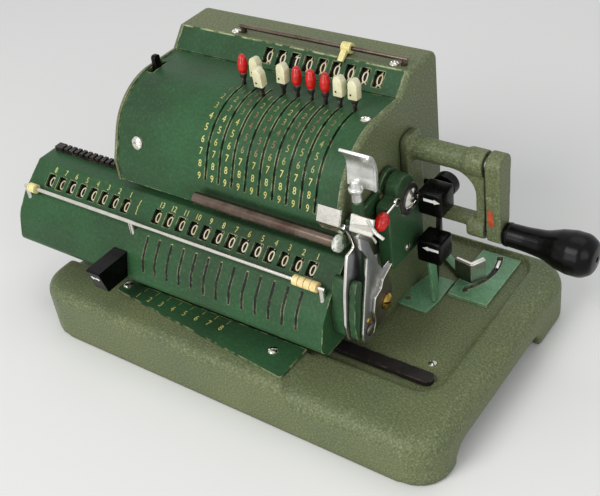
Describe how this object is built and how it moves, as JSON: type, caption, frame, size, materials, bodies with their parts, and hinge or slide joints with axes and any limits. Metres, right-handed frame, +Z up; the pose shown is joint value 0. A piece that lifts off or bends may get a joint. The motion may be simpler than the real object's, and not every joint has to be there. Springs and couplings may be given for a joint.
{
  "type": "pinwheel calculator",
  "caption": "Desk-top mechanical pinwheel calculator with setting levers, sliding register carriage and a side crank.",
  "frame": {"origin": "on the table plane, under the middle of the machine's overall box", "axes": "+X towards the crank, +Y towards the rear, +Z up"},
  "size_m": [0.2996, 0.15, 0.1487],
  "materials": {
    "casting_enamel": "hammered olive enamel",
    "sheet_enamel": "smooth green enamel",
    "plate_enamel": "smooth green enamel on sheet",
    "black_enamel": "black enamel",
    "steel": "ground steel",
    "nickel": "nickel plate",
    "aluminium": "matt aluminium",
    "digit_enamel": "black wheel with cream digits",
    "bakelite": "black bakelite",
    "red_plastic": "red plastic",
    "cream_plastic": "cream plastic",
    "yellow_enamel": "yellow enamel",
    "rubber": "black rubber"
  },
  "bodies": {
    "machine": {"base_casting": "casting_enamel", "rubber_feet": "rubber", "rear_hood": "casting_enamel", "drum_cover": "sheet_enamel", "indicator_panel": "sheet_enamel", "side_frames": "steel", "crank_bracket": "casting_enamel", "key_housing": "sheet_enamel", "scale_plate": "plate_enamel", "key_plate": "plate_enamel", "latch_plate": "plate_enamel", "carriage_rail": "black_enamel", "hood_rod": "nickel", "casing_screws": "nickel", "dial_shaft": "steel"},
    "drum": {"pinwheel_drum": "steel", "drum_shaft": "steel"},
    "crank": {"crank_shaft": "steel", "crank_arm": "casting_enamel"},
    "grip": {"crank_grip": "bakelite"},
    "latch_pin": {"crank_latch_pin": "nickel"},
    "carriage": {"carriage_cover": "sheet_enamel", "carriage_frame": "black_enamel", "marker_rod": "nickel", "register_shaft": "steel", "clear_lever_hub": "steel", "carriage_knob": "bakelite"},
    "result_register": {"result_wheels": "digit_enamel"},
    "counter_register": {"counter_wheels": "digit_enamel"},
    "result_lever": {"result_clear_lever": "nickel"},
    "counter_lever": {"counter_clear_lever": "nickel"},
    "left_marker": {"counter_marker": "yellow_enamel"},
    "right_markers": {"result_markers": "yellow_enamel"},
    "clearing_bar": {"clear_bar": "sheet_enamel", "clear_bar_tab": "aluminium"},
    "right_key": {"shift_right_key": "bakelite"},
    "left_key": {"shift_left_key": "bakelite"},
    "thumb_latch": {"latch_thumb": "nickel"},
    "bead": {"bead_lever": "red_plastic"},
    "finger": {"cover_lever": "bakelite"},
    "top_marker": {"hood_marker": "yellow_enamel"},
    "round_knob": {"reverse_knob": "bakelite"},
    "lever_1": {"setting_lever_1": "cream_plastic"},
    "dial_1": {"setting_dial_1": "digit_enamel"},
    "lever_2": {"setting_lever_2": "cream_plastic"},
    "dial_2": {"setting_dial_2": "digit_enamel"},
    "lever_3": {"setting_lever_3": "red_plastic"},
    "dial_3": {"setting_dial_3": "digit_enamel"},
    "lever_4": {"setting_lever_4": "red_plastic"},
    "dial_4": {"setting_dial_4": "digit_enamel"},
    "lever_5": {"setting_lever_5": "red_plastic"},
    "dial_5": {"setting_dial_5": "digit_enamel"},
    "lever_6": {"setting_lever_6": "cream_plastic"},
    "dial_6": {"setting_dial_6": "digit_enamel"},
    "lever_7": {"setting_lever_7": "cream_plastic"},
    "dial_7": {"setting_dial_7": "digit_enamel"},
    "lever_8": {"setting_lever_8": "cream_plastic"},
    "dial_8": {"setting_dial_8": "digit_enamel"},
    "lever_9": {"setting_lever_9": "red_plastic"},
    "dial_9": {"setting_dial_9": "digit_enamel"}
  },
  "joints": [
    {"name": "crank_spin", "type": "hinge", "parent": "machine", "child": "crank", "pos_m": [0.05, 0.028, 0.1085], "axis": [1, 0, 0], "continuous": true},
    {"name": "grip_spin", "type": "hinge", "parent": "crank", "child": "grip", "pos_m": [0.12, 0.028, 0.0722], "axis": [1, 0, 0], "continuous": true},
    {"name": "drum_spin", "type": "hinge", "parent": "machine", "child": "drum", "pos_m": [0, 0.0063, 0.0985], "axis": [1, 0, 0], "continuous": true},
    {"name": "latch_pin_push", "type": "slide", "parent": "machine", "child": "latch_pin", "axis": [-1, 0, 0], "range_m": [0, 0.0025], "stiffness_N_per_m": 200, "springref_m": -0.005},
    {"name": "carriage_slide", "type": "slide", "parent": "machine", "child": "carriage", "axis": [1, 0, 0], "range_m": [0, 0.056]},
    {"name": "result_wheel_spin", "type": "hinge", "parent": "carriage", "child": "result_register", "pos_m": [0, -0.03009, 0.06475], "axis": [1, 0, 0], "range_deg": [0, 360]},
    {"name": "counter_wheel_spin", "type": "hinge", "parent": "carriage", "child": "counter_register", "pos_m": [0, -0.03009, 0.06475], "axis": [1, 0, 0], "range_deg": [0, 360]},
    {"name": "result_clear", "type": "hinge", "parent": "carriage", "child": "result_lever", "pos_m": [0.0622, -0.0375, 0.049], "axis": [1, 0, 0], "range_deg": [0, 45], "stiffness_Nm_per_rad": 0.05, "springref_deg": -34.38},
    {"name": "counter_clear", "type": "hinge", "parent": "carriage", "child": "counter_lever", "pos_m": [0.0678, -0.0375, 0.049], "axis": [1, 0, 0], "range_deg": [0, 45], "stiffness_Nm_per_rad": 0.05, "springref_deg": -34.38},
    {"name": "left_marker_slide", "type": "slide", "parent": "carriage", "child": "left_marker", "axis": [1, 0, 0], "range_m": [0, 0.064]},
    {"name": "right_markers_slide", "type": "slide", "parent": "carriage", "child": "right_markers", "axis": [-1, 0, 0], "range_m": [0, 0.095]},
    {"name": "clear_bar_swing", "type": "hinge", "parent": "machine", "child": "clearing_bar", "pos_m": [0.055, 0.0063, 0.0985], "axis": [-1, 0, 0], "range_deg": [0, 76]},
    {"name": "shift_right_press", "type": "hinge", "parent": "machine", "child": "right_key", "pos_m": [0.07, 0.0215, 0.034], "axis": [0, 1, 0], "range_deg": [0, 6], "stiffness_Nm_per_rad": 0.05, "springref_deg": -17.19},
    {"name": "shift_left_press", "type": "hinge", "parent": "machine", "child": "left_key", "pos_m": [0.07, 0.0165, 0.034], "axis": [0, 1, 0], "range_deg": [-3.5, 0], "stiffness_Nm_per_rad": 0.05, "springref_deg": 17.19},
    {"name": "thumb_latch_turn", "type": "hinge", "parent": "machine", "child": "thumb_latch", "pos_m": [0.0574, 0.0545, 0.025], "axis": [0, 0, 1], "range_deg": [0, 40]},
    {"name": "bead_lift", "type": "hinge", "parent": "machine", "child": "bead", "pos_m": [0.0663, -0.0034, 0.0984], "axis": [1, 0, 0], "range_deg": [-20, 0]},
    {"name": "finger_rock", "type": "hinge", "parent": "machine", "child": "finger", "pos_m": [-0.08, 0.0063, 0.0985], "axis": [1, 0, 0], "range_deg": [-5, 5]},
    {"name": "top_marker_slide", "type": "slide", "parent": "machine", "child": "top_marker", "axis": [1, 0, 0], "range_m": [-0.055, 0.021]},
    {"name": "round_knob_rock", "type": "hinge", "parent": "machine", "child": "round_knob", "pos_m": [0.0692, 0.043, 0.078], "axis": [1, 0, 0], "range_deg": [-10, 0]},
    {"name": "lever_1_set", "type": "hinge", "parent": "machine", "child": "lever_1", "pos_m": [0.039, 0.0063, 0.0985], "axis": [1, 0, 0], "range_deg": [0, 90]},
    {"name": "dial_1_spin", "type": "hinge", "parent": "machine", "child": "dial_1", "pos_m": [0.039, 0.03797, 0.13165], "axis": [1, 0, 0], "range_deg": [0, 324]},
    {"name": "lever_2_set", "type": "hinge", "parent": "machine", "child": "lever_2", "pos_m": [0.031, 0.0063, 0.0985], "axis": [1, 0, 0], "range_deg": [0, 90]},
    {"name": "dial_2_spin", "type": "hinge", "parent": "machine", "child": "dial_2", "pos_m": [0.031, 0.03797, 0.13165], "axis": [1, 0, 0], "range_deg": [0, 324]},
    {"name": "lever_3_set", "type": "hinge", "parent": "machine", "child": "lever_3", "pos_m": [0.023, 0.0063, 0.0985], "axis": [1, 0, 0], "range_deg": [0, 90]},
    {"name": "dial_3_spin", "type": "hinge", "parent": "machine", "child": "dial_3", "pos_m": [0.023, 0.03797, 0.13165], "axis": [1, 0, 0], "range_deg": [0, 324]},
    {"name": "lever_4_set", "type": "hinge", "parent": "machine", "child": "lever_4", "pos_m": [0.015, 0.0063, 0.0985], "axis": [1, 0, 0], "range_deg": [0, 90]},
    {"name": "dial_4_spin", "type": "hinge", "parent": "machine", "child": "dial_4", "pos_m": [0.015, 0.03797, 0.13165], "axis": [1, 0, 0], "range_deg": [0, 324]},
    {"name": "lever_5_set", "type": "hinge", "parent": "machine", "child": "lever_5", "pos_m": [0.007, 0.0063, 0.0985], "axis": [1, 0, 0], "range_deg": [0, 90]},
    {"name": "dial_5_spin", "type": "hinge", "parent": "machine", "child": "dial_5", "pos_m": [0.007, 0.03797, 0.13165], "axis": [1, 0, 0], "range_deg": [0, 324]},
    {"name": "lever_6_set", "type": "hinge", "parent": "machine", "child": "lever_6", "pos_m": [-0.001, 0.0063, 0.0985], "axis": [1, 0, 0], "range_deg": [0, 90]},
    {"name": "dial_6_spin", "type": "hinge", "parent": "machine", "child": "dial_6", "pos_m": [-0.001, 0.03797, 0.13165], "axis": [1, 0, 0], "range_deg": [0, 324]},
    {"name": "lever_7_set", "type": "hinge", "parent": "machine", "child": "lever_7", "pos_m": [-0.009, 0.0063, 0.0985], "axis": [1, 0, 0], "range_deg": [-10, 80]},
    {"name": "dial_7_spin", "type": "hinge", "parent": "machine", "child": "dial_7", "pos_m": [-0.009, 0.03797, 0.13165], "axis": [1, 0, 0], "range_deg": [-36, 288]},
    {"name": "lever_8_set", "type": "hinge", "parent": "machine", "child": "lever_8", "pos_m": [-0.017, 0.0063, 0.0985], "axis": [1, 0, 0], "range_deg": [0, 90]},
    {"name": "dial_8_spin", "type": "hinge", "parent": "machine", "child": "dial_8", "pos_m": [-0.017, 0.03797, 0.13165], "axis": [1, 0, 0], "range_deg": [0, 324]},
    {"name": "lever_9_set", "type": "hinge", "parent": "machine", "child": "lever_9", "pos_m": [-0.025, 0.0063, 0.0985], "axis": [1, 0, 0], "range_deg": [0, 90]},
    {"name": "dial_9_spin", "type": "hinge", "parent": "machine", "child": "dial_9", "pos_m": [-0.025, 0.03797, 0.13165], "axis": [1, 0, 0], "range_deg": [0, 324]}
  ],
  "couplings": [
    {"joint": "drum_spin", "follows": "crank_spin", "ratio": -1},
    {"joint": "result_wheel_spin", "follows": "result_clear", "ratio": 8},
    {"joint": "counter_wheel_spin", "follows": "counter_clear", "ratio": 8},
    {"joint": "dial_1_spin", "follows": "lever_1_set", "ratio": 3.6},
    {"joint": "dial_2_spin", "follows": "lever_2_set", "ratio": 3.6},
    {"joint": "dial_3_spin", "follows": "lever_3_set", "ratio": 3.6},
    {"joint": "dial_4_spin", "follows": "lever_4_set", "ratio": 3.6},
    {"joint": "dial_5_spin", "follows": "lever_5_set", "ratio": 3.6},
    {"joint": "dial_6_spin", "follows": "lever_6_set", "ratio": 3.6},
    {"joint": "dial_7_spin", "follows": "lever_7_set", "ratio": 3.6},
    {"joint": "dial_8_spin", "follows": "lever_8_set", "ratio": 3.6},
    {"joint": "dial_9_spin", "follows": "lever_9_set", "ratio": 3.6}
  ]
}
